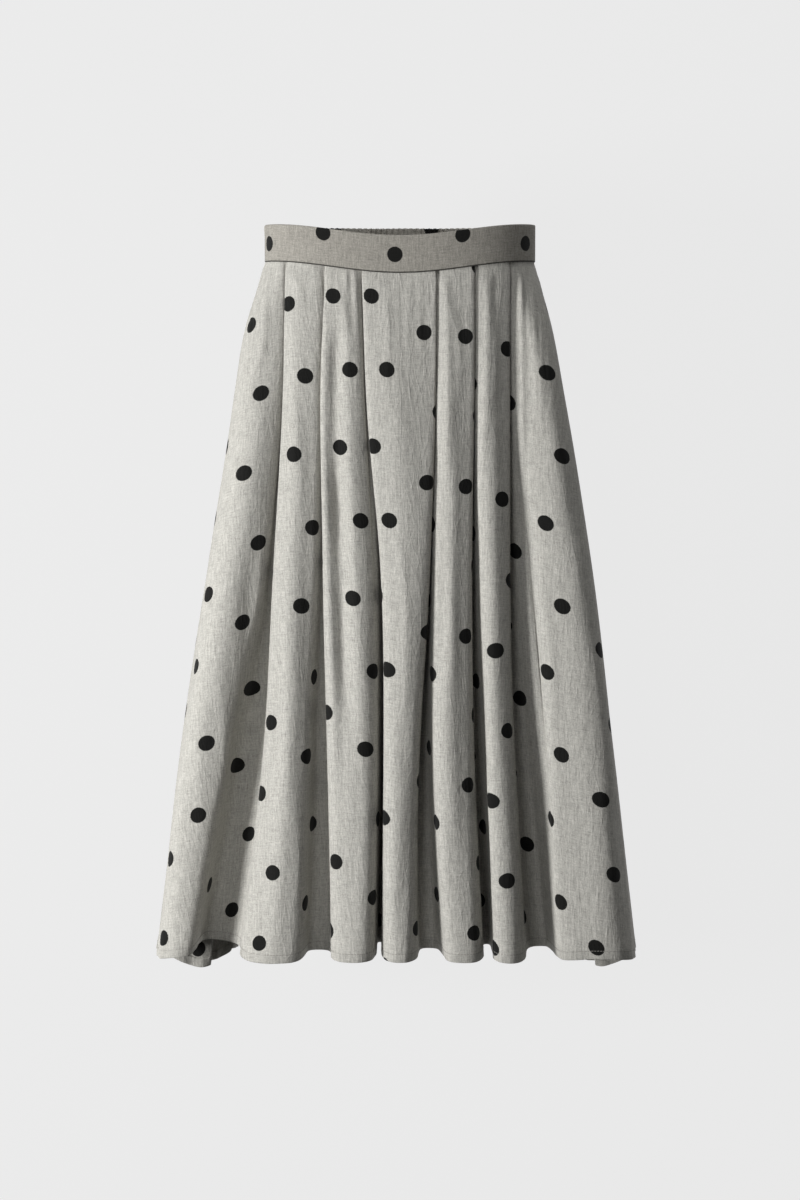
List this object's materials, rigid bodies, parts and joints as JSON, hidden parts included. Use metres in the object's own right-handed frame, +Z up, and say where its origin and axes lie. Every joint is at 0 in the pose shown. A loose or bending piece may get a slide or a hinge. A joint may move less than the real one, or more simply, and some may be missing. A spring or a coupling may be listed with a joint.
{
  "type": "a-line midi skirt",
  "caption": "Hollow a-line midi skirt with a flat front waistband, an elastic-gathered back waistband, knife pleats that open into flutes, and an open hem.",
  "frame": {"origin": "middle of the waist opening, half way up the waistband at its side seams", "axes": "+Z up from the hem towards the waistband, -Y out of the front panel, +X to the right of someone who looks at the front"},
  "size_m": [0.5358, 0.2765, 0.8415],
  "materials": {
    "dotted_linen": "matt, slubby plain-weave linen, light warm grey with near-black round dots",
    "waistband_linen": "matt plain-weave linen, doubled and pressed flat, with near-black round dots",
    "elastic_band_linen": "matt plain-weave linen, ruched over elastic, with near-black round dots"
  },
  "bodies": {
    "root": {"waistband_front": "waistband_linen", "waistband_back": "elastic_band_linen", "skirt_front": "dotted_linen", "skirt_back": "dotted_linen"}
  },
  "joints": []
}
